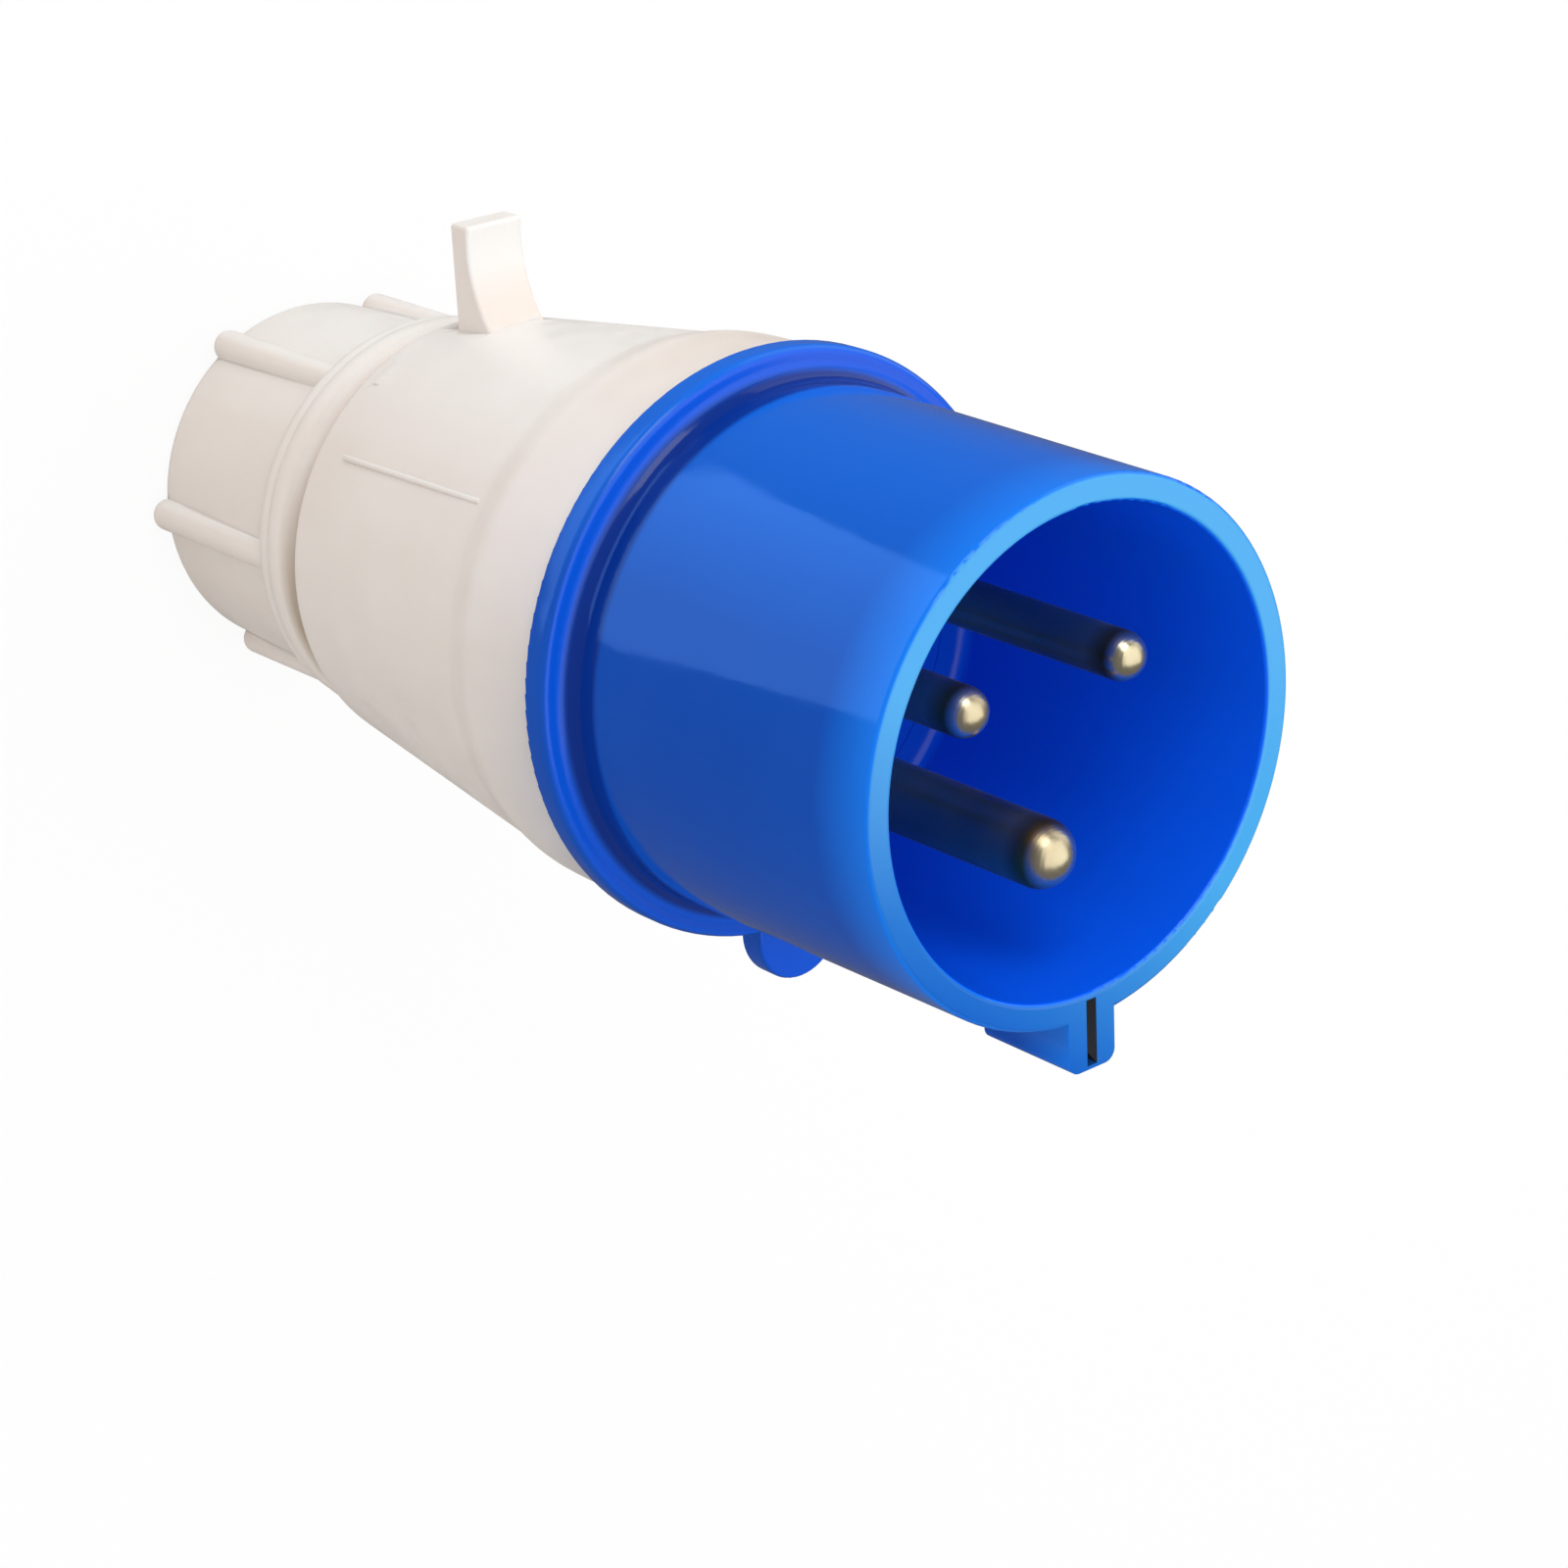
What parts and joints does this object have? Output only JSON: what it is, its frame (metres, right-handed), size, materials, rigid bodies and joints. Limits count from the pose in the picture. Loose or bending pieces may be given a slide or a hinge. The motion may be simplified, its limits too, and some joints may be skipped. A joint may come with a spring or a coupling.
{
  "type": "industrial plug",
  "caption": "Straight splash-proof industrial plug: blue shroud with round contact pins and a key, ivory housing with a lid lug, and a ribbed cable gland nut.",
  "frame": {"origin": "centre of the cable entry in the gland nut's end face", "axes": "+Z along the plug's axis out of its mouth, +Y towards the lid lug, -Y towards the key and the earth pin"},
  "size_m": [0.0614, 0.0728, 0.129],
  "materials": {
    "blue_plastic": "smooth gloss moulding",
    "ivory_plastic": "satin moulding",
    "grey_plastic": "plain moulding",
    "seal_rubber": "matt rubber",
    "screw_steel": "zinc plated",
    "contact_brass": "polished"
  },
  "bodies": {
    "root": {"plug_front": "blue_plastic", "contact_carrier": "blue_plastic", "front_seal_ring": "seal_rubber", "housing": "ivory_plastic", "gland_nut": "ivory_plastic", "slip_washer": "grey_plastic", "grip_collet": "grey_plastic", "cable_grommet": "seal_rubber", "pin_retainer": "grey_plastic", "retainer_screws": "screw_steel", "terminal_screws": "screw_steel", "line_pin": "contact_brass", "neutral_pin": "contact_brass", "earth_pin": "contact_brass"}
  },
  "joints": []
}
